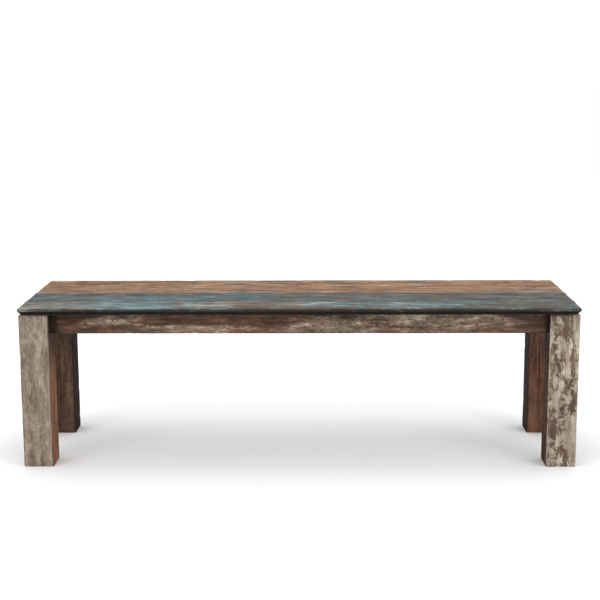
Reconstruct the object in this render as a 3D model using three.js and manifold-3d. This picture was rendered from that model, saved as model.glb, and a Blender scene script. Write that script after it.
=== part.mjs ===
// Backless plank bench in reclaimed timber: a seat of four edge-jointed boards on
// battens, an apron of two long rails and two end rails, and four thick square
// legs pulled into the apron's corners by hanger bolts through corner blocks.
//
// Units are millimetres. +Z is up, +X runs along the bench, -Y is the front.
// The origin is on the floor, under the middle of the bench.
import * as THREE from "three";
import { mergeVertices } from "three/addons/utils/BufferGeometryUtils.js";
import Module from "manifold-3d";

// ---------------------------------------------------------------- dimensions
const LENGTH = 1524; // over the legs' outer faces
const DEPTH = 456; // over the seat's front and back edges
const HEIGHT = 450; // floor to seat

const SEAT_T = 20; // seat board thickness
const SEAT_LENGTH = LENGTH - 4; // the legs stand 2 mm proud of the seat's ends
const EDGE_BAND = 10; // upright part of the seat's edge, above its under-bevel
const UNDER_BEVEL = 9; // how far the under-bevel runs in
const SEAMS = [-124, 11, 126]; // Y of the three joints between the boards
const SEAM_GAP = 0.4;
const SPLINE_T = 3.6;
const SPLINE_W = 17;
const GROOVE_CLEARANCE = 0.3;
const SPLINE_STOP = 40; // the grooves stop this far short of the seat's ends

const LEG = 82; // square section
const LEG_OVERHANG = 22; // the seat's front edge past the leg's front face
const LEG_ARRIS = 2; // chamfer on the four long corners
const LEG_TOP_CHAMFER = 5.5; // on the two outward top edges
const CORNER_FLAT = 10; // depth of the flat that takes the pull of the bolt

const RAIL_T = 22;
const RAIL_H = 58;
const RAIL_SETBACK = 20; // from the legs' outer faces
const FIT = 0.3; // gap kept between parts that touch

const BATTEN_X = [-450, 0, 450];
const BATTEN_W = 70;
const BATTEN_T = 18;
const BATTEN_HOUSING = 8; // depth of the housing in each long rail

const BLOCK_H = 46;
const BLOCK_T = 28;
const BLOCK_STANDOFF = 4; // block to the leg's corner, so that the bolt can draw

const BOLT_R = 4;
const BOLT_LENGTH = 96;
const BOLT_IN_LEG = 50; // measured from the leg's corner line
const WASHER_R = 10;
const WASHER_T = 2;
const NUT_AF = 13;
const NUT_T = 6.5;

const SCREW_R = 2;
const SCREW_HEAD_R = 4;
const SCREW_HEAD_T = 2.5;
const SCREW_CLEARANCE = 0.3;

// ------------------------------------------------------------- derived values
const Z_SEAT = HEIGHT - SEAT_T; // underside of the boards, top of legs and rails
const HALF_X = LENGTH / 2;
const LEG_Y = DEPTH / 2 - LEG_OVERHANG; // outer face of the legs, front and back
const LEG_IN_X = HALF_X - LEG; // inner faces of the legs
const LEG_IN_Y = LEG_Y - LEG;
const RAIL_Y = LEG_Y - RAIL_SETBACK; // outer face of the long rails
const RAIL_X = HALF_X - RAIL_SETBACK; // outer face of the end rails
const Z_RAIL = Z_SEAT - RAIL_H;
const Z_BLOCK = Z_SEAT - BLOCK_H;
const Z_BOLT = Z_SEAT - BLOCK_H / 2;
const DIAGONAL = Math.SQRT1_2;

// ------------------------------------------------------------------ materials
const finish = (color, roughness, metalness = 0) =>
  new THREE.MeshStandardMaterial({ color, roughness, metalness });
const MATERIAL = {
  bluePaint: finish(0x7f9aa2, 0.6),
  tealPaint: finish(0x6b7474, 0.6),
  salmonPaint: finish(0x9d7f6c, 0.6),
  bufferWood: finish(0xa08a76, 0.6),
  greigePaint: finish(0x9b8a79, 0.7),
  creamPaint: finish(0xb9ab97, 0.7),
  brownWood: finish(0x6b5140, 0.7),
  redBrownWood: finish(0x66412f, 0.7),
  railWood: finish(0x6a594c, 0.7),
  plainWood: finish(0x8d6f50, 0.8),
  steel: finish(0x8f9194, 0.4, 1),
};

// ------------------------------------------------------------- solid modelling
const wasm = await Module();
wasm.setup();

// A closed geometry as a solid that can be cut and joined.
function solid(geometry) {
  const g = geometry.clone();
  g.deleteAttribute("normal");
  g.deleteAttribute("uv");
  const merged = mergeVertices(g, 1e-4);
  return new wasm.Manifold(
    new wasm.Mesh({
      numProp: 3,
      vertProperties: new Float32Array(merged.attributes.position.array),
      triVerts: new Uint32Array(merged.index.array),
    }),
  );
}

// A solid back as a geometry.
function geometryOf(body) {
  const m = body.getMesh();
  const g = new THREE.BufferGeometry();
  const v = new Float32Array(m.numVert * 3);
  for (let i = 0; i < m.numVert; i++)
    v.set(m.vertProperties.subarray(i * m.numProp, i * m.numProp + 3), i * 3);
  g.setAttribute("position", new THREE.BufferAttribute(v, 3));
  g.setIndex(new THREE.BufferAttribute(new Uint32Array(m.triVerts), 1));
  g.computeVertexNormals();
  return g;
}

// A box by its low and high corners.
function box(x0, y0, z0, x1, y1, z1) {
  const g = new THREE.BoxGeometry(x1 - x0, y1 - y0, z1 - z0);
  g.translate((x0 + x1) / 2, (y0 + y1) / 2, (z0 + z1) / 2);
  return g;
}

// A cylinder of radius r from point a to point b.
function rod(r, a, b, sides = 12) {
  const from = new THREE.Vector3(...a);
  const to = new THREE.Vector3(...b);
  const along = to.clone().sub(from);
  const g = new THREE.CylinderGeometry(r, r, along.length(), sides);
  g.applyQuaternion(
    new THREE.Quaternion().setFromUnitVectors(
      new THREE.Vector3(0, 1, 0),
      along.clone().normalize(),
    ),
  );
  const mid = from.add(to).multiplyScalar(0.5);
  g.translate(mid.x, mid.y, mid.z);
  return g;
}

// A prism: an outline in XY, extruded from z0 to z1.
function prism(points, z0, z1) {
  const shape = new THREE.Shape(points.map(([x, y]) => new THREE.Vector2(x, y)));
  const g = new THREE.ExtrudeGeometry(shape, {
    depth: z1 - z0,
    bevelEnabled: false,
  });
  g.translate(0, 0, z0);
  return g;
}

// A bar: an outline in YZ, extruded along X from -half to +half.
function bar(points, half) {
  const shape = new THREE.Shape(points.map(([y, z]) => new THREE.Vector2(y, z)));
  const g = new THREE.ExtrudeGeometry(shape, {
    depth: 2 * half,
    bevelEnabled: false,
  });
  // shape x -> Y, shape y -> Z, depth -> X
  g.applyMatrix4(
    new THREE.Matrix4().set(0, 0, 1, -half, 1, 0, 0, 0, 0, 1, 0, 0, 0, 0, 0, 1),
  );
  return g;
}

const group = new THREE.Group();
function add(name, shape, material) {
  const g = shape.isBufferGeometry ? shape : geometryOf(shape);
  const mesh = new THREE.Mesh(g, material);
  mesh.name = name;
  group.add(mesh);
  return mesh;
}

// ---------------------------------------------------------------- screw places
// Batten screws: one up into each board from every batten.
const BATTEN_SCREW_Y = [-145, -56.5, 68.5, 147];
// Seat screws: up through each corner block, beside its bolt.
const SEAT_SCREW = (() => {
  const q = BLOCK_STANDOFF + BLOCK_T / 2;
  const t = 40;
  return [LEG_IN_X - (q + t) * DIAGONAL, LEG_IN_Y - (q - t) * DIAGONAL];
})();
const SCREW_TIP = Z_SEAT + 11.7;
const seatHoles = [];
for (const x of BATTEN_X)
  for (const y of BATTEN_SCREW_Y) seatHoles.push([x, y]);
for (const sx of [-1, 1])
  for (const sy of [-1, 1])
    seatHoles.push([sx * SEAT_SCREW[0], sy * SEAT_SCREW[1]]);

// ------------------------------------------------------------------ the boards
// The end profile, seen from the front: upright band over an under-bevel.
const endProfile = (() => {
  const h = SEAT_LENGTH / 2;
  const shape = new THREE.Shape(
    [
      [-h + UNDER_BEVEL, Z_SEAT],
      [h - UNDER_BEVEL, Z_SEAT],
      [h, HEIGHT - EDGE_BAND],
      [h, HEIGHT - 1.5],
      [h - 1.5, HEIGHT],
      [-h + 1.5, HEIGHT],
      [-h, HEIGHT - 1.5],
      [-h, HEIGHT - EDGE_BAND],
    ].map(([x, z]) => new THREE.Vector2(x, z)),
  );
  const g = new THREE.ExtrudeGeometry(shape, {
    depth: DEPTH + 20,
    bevelEnabled: false,
  });
  // shape x -> X, shape y -> Z, depth -> -Y
  g.applyMatrix4(
    new THREE.Matrix4().set(
      1, 0, 0, 0,
      0, 0, -1, DEPTH / 2 + 10,
      0, 1, 0, 0,
      0, 0, 0, 1,
    ),
  );
  return solid(g);
})();

const BOARDS = [
  ["seat_board_front", -DEPTH / 2, SEAMS[0], MATERIAL.bluePaint],
  ["seat_board_second", SEAMS[0], SEAMS[1], MATERIAL.tealPaint],
  ["seat_board_third", SEAMS[1], SEAMS[2], MATERIAL.salmonPaint],
  ["seat_board_back", SEAMS[2], DEPTH / 2, MATERIAL.bufferWood],
];
const Z_SPLINE = Z_SEAT + SEAT_T / 2;
for (const [name, ya, yb, material] of BOARDS) {
  const front = ya === -DEPTH / 2;
  const back = yb === DEPTH / 2;
  const y0 = front ? ya : ya + SEAM_GAP / 2;
  const y1 = back ? yb : yb - SEAM_GAP / 2;
  const points = [];
  if (front) points.push([y0 + UNDER_BEVEL, Z_SEAT]);
  else points.push([y0, Z_SEAT]);
  if (back) points.push([y1 - UNDER_BEVEL, Z_SEAT], [y1, HEIGHT - EDGE_BAND]);
  else points.push([y1, Z_SEAT]);
  points.push([y1, HEIGHT - 1], [y1 - 1, HEIGHT]);
  points.push([y0 + 1, HEIGHT], [y0, HEIGHT - 1]);
  if (front) points.push([y0, HEIGHT - EDGE_BAND]);
  let board = solid(bar(points, SEAT_LENGTH / 2 + 10)).intersect(endProfile);
  // stopped grooves for the loose splines
  const g = SPLINE_T / 2 + GROOVE_CLEARANCE;
  const reach = SPLINE_W / 2 + 1;
  const gx = SEAT_LENGTH / 2 - SPLINE_STOP + 1;
  for (const seam of SEAMS)
    if (seam === ya || seam === yb)
      board = board.subtract(
        solid(box(-gx, seam - reach, Z_SPLINE - g, gx, seam + reach, Z_SPLINE + g)),
      );
  // blind pilot holes for the screws from below
  for (const [x, y] of seatHoles)
    if (y > y0 && y < y1)
      board = board.subtract(
        solid(
          rod(
            SCREW_R + SCREW_CLEARANCE,
            [x, y, Z_SEAT - 5],
            [x, y, SCREW_TIP + 0.3],
            8,
          ),
        ),
      );
  add(name, board, material);
}
SEAMS.forEach((seam, i) => {
  const h = SEAT_LENGTH / 2 - SPLINE_STOP;
  add(
    ["spline_front", "spline_middle", "spline_back"][i],
    box(
      -h, seam - SPLINE_W / 2, Z_SPLINE - SPLINE_T / 2,
      h, seam + SPLINE_W / 2, Z_SPLINE + SPLINE_T / 2,
    ),
    MATERIAL.plainWood,
  );
});

// --------------------------------------------------------- corners, leg by leg
// Everything at a corner is worked out at the (+X, +Y) corner and mirrored.
function mirrored(geometry, sx, sy) {
  const g = geometry.index ? geometry.toNonIndexed() : geometry.clone();
  g.applyMatrix4(new THREE.Matrix4().makeScale(sx, sy, 1));
  if (sx * sy < 0) {
    const p = g.attributes.position;
    for (let i = 0; i < p.count; i += 3) {
      const a = [p.getX(i + 1), p.getY(i + 1), p.getZ(i + 1)];
      p.setXYZ(i + 1, p.getX(i + 2), p.getY(i + 2), p.getZ(i + 2));
      p.setXYZ(i + 2, ...a);
    }
  }
  g.deleteAttribute("uv");
  g.computeVertexNormals();
  return g;
}
// A point on the corner's diagonal, q from the leg's inner corner to the middle
// of the bench, t across it towards the end of the bench.
const onDiagonal = (q, t = 0, z = Z_BOLT) => [
  LEG_IN_X - (q - t) * DIAGONAL,
  LEG_IN_Y - (q + t) * DIAGONAL,
  z,
];

const legGeometry = (() => {
  const a = LEG_ARRIS;
  const [x0, x1, y0, y1] = [LEG_IN_X, HALF_X, LEG_IN_Y, LEG_Y];
  let leg = solid(
    prism(
      [
        [x0 + a, y0], [x1 - a, y0], [x1, y0 + a], [x1, y1 - a],
        [x1 - a, y1], [x0 + a, y1], [x0, y1 - a], [x0, y0 + a],
      ],
      0,
      Z_SEAT,
    ),
  );
  // top chamfers along the two outward faces
  const c = LEG_TOP_CHAMFER;
  const wedge = new THREE.Shape([
    new THREE.Vector2(-c, 0.5),
    new THREE.Vector2(-c, 0),
    new THREE.Vector2(0, -c),
    new THREE.Vector2(5, -c),
    new THREE.Vector2(5, 0.5),
  ]);
  const alongY = new THREE.ExtrudeGeometry(wedge, {
    depth: LEG + 10,
    bevelEnabled: false,
  });
  // shape x -> X, shape y -> Z, depth -> -Y
  alongY.applyMatrix4(
    new THREE.Matrix4().set(
      1, 0, 0, x1,
      0, 0, -1, y1 + 5,
      0, 1, 0, Z_SEAT,
      0, 0, 0, 1,
    ),
  );
  const alongX = new THREE.ExtrudeGeometry(wedge, {
    depth: LEG + 10,
    bevelEnabled: false,
  });
  // shape x -> Y, shape y -> Z, depth -> X
  alongX.applyMatrix4(
    new THREE.Matrix4().set(
      0, 0, 1, x0 - 5,
      1, 0, 0, y1,
      0, 1, 0, Z_SEAT,
      0, 0, 0, 1,
    ),
  );
  leg = leg.subtract(solid(alongY)).subtract(solid(alongX));
  // the flat across the inner corner, only as high as the rails
  const flat = new THREE.BoxGeometry(60, 60, RAIL_H + 10);
  flat.rotateZ(Math.PI / 4);
  const [fx, fy] = onDiagonal(30 - CORNER_FLAT);
  flat.translate(fx, fy, Z_RAIL + RAIL_H / 2 + 5);
  leg = leg.subtract(solid(flat));
  // blind hole for the hanger bolt's wood thread
  leg = leg.subtract(
    solid(rod(BOLT_R + FIT, onDiagonal(-BOLT_IN_LEG - 0.5), onDiagonal(5), 12)),
  );
  return geometryOf(leg);
})();

// Corner block: a mitred bar across the corner, from long rail to end rail.
const RAIL_SCREW_X = (() => {
  // middle of the block's foot on the long rail
  const s = LEG_IN_X + LEG_IN_Y;
  const y = RAIL_Y - RAIL_T;
  const outer = s - BLOCK_STANDOFF / DIAGONAL - y;
  return outer - BLOCK_T / DIAGONAL / 2;
})();
const END_SCREW_Y = (() => {
  const s = LEG_IN_X + LEG_IN_Y;
  const x = RAIL_X - RAIL_T;
  const outer = s - BLOCK_STANDOFF / DIAGONAL - x;
  return outer - BLOCK_T / DIAGONAL / 2;
})();
const COUNTERBORE = 12; // wood left under a block screw's head
const blockGeometry = (() => {
  const s = LEG_IN_X + LEG_IN_Y;
  const outer = s - BLOCK_STANDOFF / DIAGONAL; // x + y on the face by the leg
  const inner = outer - BLOCK_T / DIAGONAL; // x + y on the face by the nut
  const yr = RAIL_Y - RAIL_T - FIT;
  const xr = RAIL_X - RAIL_T - FIT;
  let block = solid(
    prism(
      [
        [outer - yr, yr],
        [inner - yr, yr],
        [xr, inner - xr],
        [xr, outer - xr],
      ],
      Z_BLOCK,
      Z_SEAT,
    ),
  );
  const cut = (g) => {
    block = block.subtract(solid(g));
  };
  cut(rod(BOLT_R + 0.6, onDiagonal(-2), onDiagonal(45), 12));
  // screws into the two rails, with counterbores on the inner face
  const r = SCREW_R + SCREW_CLEARANCE;
  cut(rod(r, [RAIL_SCREW_X, yr - 40, Z_BOLT], [RAIL_SCREW_X, yr + 5, Z_BOLT], 8));
  cut(
    rod(
      SCREW_HEAD_R + 1,
      [RAIL_SCREW_X, yr - 60, Z_BOLT],
      [RAIL_SCREW_X, yr - COUNTERBORE, Z_BOLT],
      12,
    ),
  );
  cut(rod(r, [xr - 40, END_SCREW_Y, Z_BOLT], [xr + 5, END_SCREW_Y, Z_BOLT], 8));
  cut(
    rod(
      SCREW_HEAD_R + 1,
      [xr - 60, END_SCREW_Y, Z_BOLT],
      [xr - COUNTERBORE, END_SCREW_Y, Z_BOLT],
      12,
    ),
  );
  cut(
    rod(
      r,
      [SEAT_SCREW[0], SEAT_SCREW[1], Z_BLOCK - 5],
      [SEAT_SCREW[0], SEAT_SCREW[1], Z_SEAT + 5],
      8,
    ),
  );
  return geometryOf(block);
})();

const boltGeometry = rod(
  BOLT_R,
  onDiagonal(-BOLT_IN_LEG),
  onDiagonal(BOLT_LENGTH - BOLT_IN_LEG),
  12,
);
const WASHER_Q = BLOCK_STANDOFF + BLOCK_T + FIT;
const washerGeometry = geometryOf(
  solid(rod(WASHER_R, onDiagonal(WASHER_Q), onDiagonal(WASHER_Q + WASHER_T), 16)).subtract(
    solid(rod(BOLT_R + 0.5, onDiagonal(WASHER_Q - 3), onDiagonal(WASHER_Q + WASHER_T + 3), 12)),
  ),
);
const NUT_Q = WASHER_Q + WASHER_T + FIT;
const nutGeometry = geometryOf(
  solid(rod(NUT_AF / Math.sqrt(3), onDiagonal(NUT_Q), onDiagonal(NUT_Q + NUT_T), 6)).subtract(
    solid(rod(BOLT_R + FIT, onDiagonal(NUT_Q - 3), onDiagonal(NUT_Q + NUT_T + 3), 12)),
  ),
);

// A pan-head screw from its seat at a, pointing to b.
function screw(a, b) {
  const from = new THREE.Vector3(...a);
  const dir = new THREE.Vector3(...b).sub(from).normalize();
  const length = new THREE.Vector3(...b).sub(from).length();
  const R = SCREW_R;
  const H = SCREW_HEAD_R;
  const T = SCREW_HEAD_T;
  const g = new THREE.LatheGeometry(
    [
      [0, -T],
      [H * 0.72, -T],
      [H, -T * 0.45],
      [H, 0],
      [R, 0],
      [R, length - 4],
      [0, length],
    ].map(([x, y]) => new THREE.Vector2(x, y)),
    8,
  );
  g.applyQuaternion(
    new THREE.Quaternion().setFromUnitVectors(new THREE.Vector3(0, 1, 0), dir),
  );
  const at = from.clone().addScaledVector(dir, -FIT);
  g.translate(at.x, at.y, at.z);
  // the profile's seam and poles are merged so that the body is closed
  return geometryOf(solid(g));
}
const railScrewGeometry = screw(
  [RAIL_SCREW_X, RAIL_Y - RAIL_T - FIT - COUNTERBORE, Z_BOLT],
  [RAIL_SCREW_X, RAIL_Y - RAIL_T + 14, Z_BOLT],
);
const endScrewGeometry = screw(
  [RAIL_X - RAIL_T - FIT - COUNTERBORE, END_SCREW_Y, Z_BOLT],
  [RAIL_X - RAIL_T + 14, END_SCREW_Y, Z_BOLT],
);
const seatScrewGeometry = screw(
  [SEAT_SCREW[0], SEAT_SCREW[1], Z_BLOCK],
  [SEAT_SCREW[0], SEAT_SCREW[1], SCREW_TIP],
);

const CORNERS = [
  ["front_left", -1, -1, MATERIAL.greigePaint],
  ["front_right", 1, -1, MATERIAL.creamPaint],
  ["back_left", -1, 1, MATERIAL.brownWood],
  ["back_right", 1, 1, MATERIAL.redBrownWood],
];
for (const [corner, sx, sy, wood] of CORNERS) {
  add("leg_" + corner, mirrored(legGeometry, sx, sy), wood);
  add("corner_block_" + corner, mirrored(blockGeometry, sx, sy), MATERIAL.plainWood);
  add("hanger_bolt_" + corner, mirrored(boltGeometry, sx, sy), MATERIAL.steel);
  add("washer_" + corner, mirrored(washerGeometry, sx, sy), MATERIAL.steel);
  add("nut_" + corner, mirrored(nutGeometry, sx, sy), MATERIAL.steel);
  add("rail_screw_" + corner, mirrored(railScrewGeometry, sx, sy), MATERIAL.steel);
  add("end_rail_screw_" + corner, mirrored(endScrewGeometry, sx, sy), MATERIAL.steel);
  add("seat_screw_" + corner, mirrored(seatScrewGeometry, sx, sy), MATERIAL.steel);
}

// ------------------------------------------------------------------- the apron
for (const [name, sy] of [
  ["rail_front", -1],
  ["rail_back", 1],
]) {
  let rail = solid(
    box(
      -LEG_IN_X + FIT, RAIL_Y - RAIL_T, Z_RAIL,
      LEG_IN_X - FIT, RAIL_Y, Z_SEAT,
    ),
  );
  const inner = RAIL_Y - RAIL_T;
  // housings for the battens' ends, open at the top and on the inside
  for (const x of BATTEN_X)
    rail = rail.subtract(
      solid(
        box(
          x - BATTEN_W / 2 - FIT, inner - 5, Z_SEAT - BATTEN_T - FIT,
          x + BATTEN_W / 2 + FIT, inner + BATTEN_HOUSING, Z_SEAT + 5,
        ),
      ),
    );
  // pilot holes for the corner blocks' screws
  for (const sx of [-1, 1])
    rail = rail.subtract(
      solid(
        rod(
          SCREW_R + SCREW_CLEARANCE,
          [sx * RAIL_SCREW_X, inner - 5, Z_BOLT],
          [sx * RAIL_SCREW_X, inner + 14.5, Z_BOLT],
          8,
        ),
      ),
    );
  add(name, mirrored(geometryOf(rail), 1, sy), MATERIAL.railWood);
}
for (const [name, sx] of [
  ["end_rail_left", -1],
  ["end_rail_right", 1],
]) {
  const inner = RAIL_X - RAIL_T;
  let rail = solid(
    box(
      inner, -LEG_IN_Y + FIT, Z_RAIL,
      RAIL_X, LEG_IN_Y - FIT, Z_SEAT,
    ),
  );
  for (const sy of [-1, 1])
    rail = rail.subtract(
      solid(
        rod(
          SCREW_R + SCREW_CLEARANCE,
          [inner - 5, sy * END_SCREW_Y, Z_BOLT],
          [inner + 14.5, sy * END_SCREW_Y, Z_BOLT],
          8,
        ),
      ),
    );
  add(name, mirrored(geometryOf(rail), sx, 1), MATERIAL.railWood);
}

// ----------------------------------------------------------------- the battens
["left", "middle", "right"].forEach((side, i) => {
  const x = BATTEN_X[i];
  const end = RAIL_Y - RAIL_T + BATTEN_HOUSING - FIT;
  let batten = solid(
    box(
      x - BATTEN_W / 2, -end, Z_SEAT - BATTEN_T,
      x + BATTEN_W / 2, end, Z_SEAT,
    ),
  );
  for (const y of BATTEN_SCREW_Y)
    batten = batten.subtract(
      solid(
        rod(
          SCREW_R + SCREW_CLEARANCE,
          [x, y, Z_SEAT - BATTEN_T - 5],
          [x, y, Z_SEAT + 5],
          8,
        ),
      ),
    );
  add("batten_" + side, batten, MATERIAL.plainWood);
  BATTEN_SCREW_Y.forEach((y, j) =>
    add(
      "batten_screw_" + side + "_" + (j + 1),
      screw([x, y, Z_SEAT - BATTEN_T], [x, y, SCREW_TIP]),
      MATERIAL.steel,
    ),
  );
});

export default group;
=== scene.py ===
import math

import bpy
import numpy as np
from mathutils import Matrix, Vector


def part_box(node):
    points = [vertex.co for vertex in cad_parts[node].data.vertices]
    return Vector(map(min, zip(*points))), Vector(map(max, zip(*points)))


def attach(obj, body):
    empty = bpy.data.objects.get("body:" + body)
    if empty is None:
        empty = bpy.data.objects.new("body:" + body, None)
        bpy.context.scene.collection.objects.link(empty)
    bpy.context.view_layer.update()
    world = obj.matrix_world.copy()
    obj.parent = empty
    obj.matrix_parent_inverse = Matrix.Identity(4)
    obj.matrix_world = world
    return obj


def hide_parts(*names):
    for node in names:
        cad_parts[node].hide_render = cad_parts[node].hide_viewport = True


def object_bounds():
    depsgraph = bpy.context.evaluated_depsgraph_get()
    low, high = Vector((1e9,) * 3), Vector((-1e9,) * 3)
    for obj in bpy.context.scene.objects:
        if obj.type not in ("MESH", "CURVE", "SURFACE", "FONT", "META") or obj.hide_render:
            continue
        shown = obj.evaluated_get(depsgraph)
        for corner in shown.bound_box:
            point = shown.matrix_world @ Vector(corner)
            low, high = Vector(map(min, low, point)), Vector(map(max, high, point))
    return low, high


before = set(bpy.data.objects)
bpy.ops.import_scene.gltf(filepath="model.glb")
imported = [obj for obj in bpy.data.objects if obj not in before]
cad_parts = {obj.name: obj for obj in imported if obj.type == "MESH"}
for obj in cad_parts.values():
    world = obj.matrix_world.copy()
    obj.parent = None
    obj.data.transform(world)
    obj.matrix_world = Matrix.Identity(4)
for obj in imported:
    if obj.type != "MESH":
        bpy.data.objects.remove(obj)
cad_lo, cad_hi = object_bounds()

scene = bpy.context.scene
MM = 0.001

# --------------------------------------------------------------------- camera
# Standing height, in front of the bench, looking slightly down on the seat.
CAMERA_AT = Vector((0.0490, -3.5857, 1.0942))
YAW, PITCH, ROLL = 0.013314, 0.182958, -0.003637


def make_camera():
    right = Vector((math.cos(YAW), math.sin(YAW), 0))
    ahead = Vector((-math.sin(YAW), math.cos(YAW), 0))
    up = Vector((0, 0, 1))
    f2 = ahead * math.cos(PITCH) - up * math.sin(PITCH)
    u2 = up * math.cos(PITCH) + ahead * math.sin(PITCH)
    r = right * math.cos(ROLL) + u2 * math.sin(ROLL)
    u = u2 * math.cos(ROLL) - right * math.sin(ROLL)
    data = bpy.data.cameras.new("camera")
    data.sensor_width = 36
    data.lens = 76.43
    data.clip_start, data.clip_end = 0.05, 200
    cam = bpy.data.objects.new("camera", data)
    scene.collection.objects.link(cam)
    m = Matrix((r, u, -f2)).transposed().to_4x4()
    m.translation = CAMERA_AT
    cam.matrix_world = m
    scene.camera = cam


make_camera()


# ------------------------------------------------------------- seeded noise
def hashed(i, j, k, seed):
    mask = 0x7FFFFFFF
    h = (i.astype(np.int64) * 73856093) ^ (j.astype(np.int64) * 19349663)
    h = (h ^ (k.astype(np.int64) * 83492791) ^ ((seed * 2654435) & mask)) & mask
    h = ((h ^ (h >> 13)) * 1274126177) & mask
    h = ((h ^ (h >> 15)) * 2146121773) & mask
    h = h ^ (h >> 14)
    return (h & 0xFFFFFF) / float(0xFFFFFF)


def vnoise(p, seed):
    """Smooth value noise from 0 to 1 at the points p, an array of (n, 3)."""
    f = np.floor(p)
    t = p - f
    t = t * t * (3 - 2 * t)
    f = f.astype(np.int64)
    total = np.zeros(len(p))
    for a in (0, 1):
        for b in (0, 1):
            for c in (0, 1):
                w = (t[:, 0] if a else 1 - t[:, 0]) * (t[:, 1] if b else 1 - t[:, 1])
                w = w * (t[:, 2] if c else 1 - t[:, 2])
                total += w * hashed(f[:, 0] + a, f[:, 1] + b, f[:, 2] + c, seed)
    return total


def fbm(p, seed, octaves=3):
    total, amp, norm = np.zeros(len(p)), 1.0, 0.0
    for o in range(octaves):
        total += amp * vnoise(p * (2.03**o), seed + 17 * o)
        norm += amp
        amp *= 0.5
    return total / norm


def smoothstep(lo, hi, v):
    t = np.clip((v - lo) / (hi - lo), 0, 1)
    return t * t * (3 - 2 * t)


# ------------------------------------------------------- swept, worn timber
class Section:
    """A closed section with rounded corners, counter-clockwise. Each point has its
    outward normal, its distance to the nearest corner, and what crosses it."""

    def __init__(self, corners, radii, step, cracks=(), grooves=()):
        self.p, self.n, self.e = [], [], []
        self.crack, self.crack_k = [], []
        self.groove = []
        self.edge_id, self.t = [], []
        c = [np.array(v, float) for v in corners]
        count = len(c)
        cut = []
        for i in range(count):
            d0 = c[i] - c[i - 1]
            d1 = c[(i + 1) % count] - c[i]
            d0, d1 = d0 / np.linalg.norm(d0), d1 / np.linalg.norm(d1)
            turn = math.atan2(d0[0] * d1[1] - d0[1] * d1[0], float(np.dot(d0, d1)))
            cut.append((d0, d1, turn, radii[i] * math.tan(turn / 2)))
        for i in range(count):
            d0, d1, turn, back = cut[i]
            r = radii[i]
            a = c[i] - d0 * back
            centre = a + np.array((-d0[1], d0[0])) * r
            start = math.atan2(a[1] - centre[1], a[0] - centre[0])
            m = max(4, int(math.ceil(turn * r / (0.7 * MM))) + 1)
            for k in range(m):
                ang = start + turn * k / (m - 1)
                v = np.array((math.cos(ang), math.sin(ang)))
                self.add(centre + r * v, v, 0.0, i, -1.0)
            begin = c[i] + d1 * back
            end = c[(i + 1) % count] - cut[(i + 1) % count][0] * cut[(i + 1) % count][3]
            length = float(np.linalg.norm(end - begin))
            normal = np.array((d1[1], -d1[0]))
            ts = self.spread(length, step)
            special = []
            for j, cr in enumerate(cracks):
                if cr["edge"] == i:
                    mid = cr["at"] * length
                    ts = [t for t in ts if abs(t - mid) > 2.2 * MM]
                    for off, depth in ((-1.1, 0), (-0.45, 0.35), (0, 1), (0.45, 0.35), (1.1, 0)):
                        special.append((mid + off * MM, j, depth, 0))
            for g in grooves:
                if g["edge"] == i:
                    mid = g["at"] * length
                    h = g["half"]
                    ts = [t for t in ts if abs(t - mid) > h + 0.7 * MM]
                    for off, deep in ((-h - 0.05 * MM, 0), (-h, 1), (0, 1), (h, 1), (h + 0.05 * MM, 0)):
                        special.append((mid + off, -1, 0, deep))
            rows = sorted([(t, -1, 0, 0) for t in ts] + special)
            for t, j, depth, deep in rows:
                self.add(begin + d1 * t, normal, min(t, length - t), i, t, j, depth, deep)
        self.p, self.n = np.array(self.p), np.array(self.n)
        self.e = np.array(self.e)
        self.crack, self.crack_k = np.array(self.crack), np.array(self.crack_k, float)
        self.groove = np.array(self.groove, float)
        self.edge_id, self.t = np.array(self.edge_id), np.array(self.t)

    def add(self, p, n, e, edge, t, crack=-1, k=0.0, groove=0.0):
        self.p.append(p)
        self.n.append(n)
        self.e.append(e)
        self.edge_id.append(edge)
        self.t.append(t)
        self.crack.append(crack)
        self.crack_k.append(k)
        self.groove.append(groove)

    @staticmethod
    def spread(length, step):
        if length < 5 * MM:
            return [length * k / 3 for k in (1, 2)]
        fine = [0.9 * MM, 2.2 * MM]
        inner = length - 4.4 * MM
        n = max(1, int(round(inner / step)))
        mid = [2.2 * MM + inner * k / n for k in range(1, n)]
        return fine + mid + [length - v for v in reversed(fine)]


AXES = {"x": (0, 1, 2), "y": (1, 0, 2), "z": (2, 0, 1)}


def stations(a0, a1, step, extra=()):
    ends = [0, 0.25, 0.6, 1.1, 1.8, 3.0, 5.0]
    inner = (a1 - a0) - 10 * MM
    n = max(2, int(round(inner / step)))
    s = [a0 + v * MM for v in ends] + [a1 - v * MM for v in ends]
    s += [a0 + 5 * MM + inner * k / n for k in range(1, n)]
    s = [v for v in s if all(abs(v - x) > 0.6 * MM for x in extra)] + list(extra)
    return np.array(sorted(s))


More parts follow.
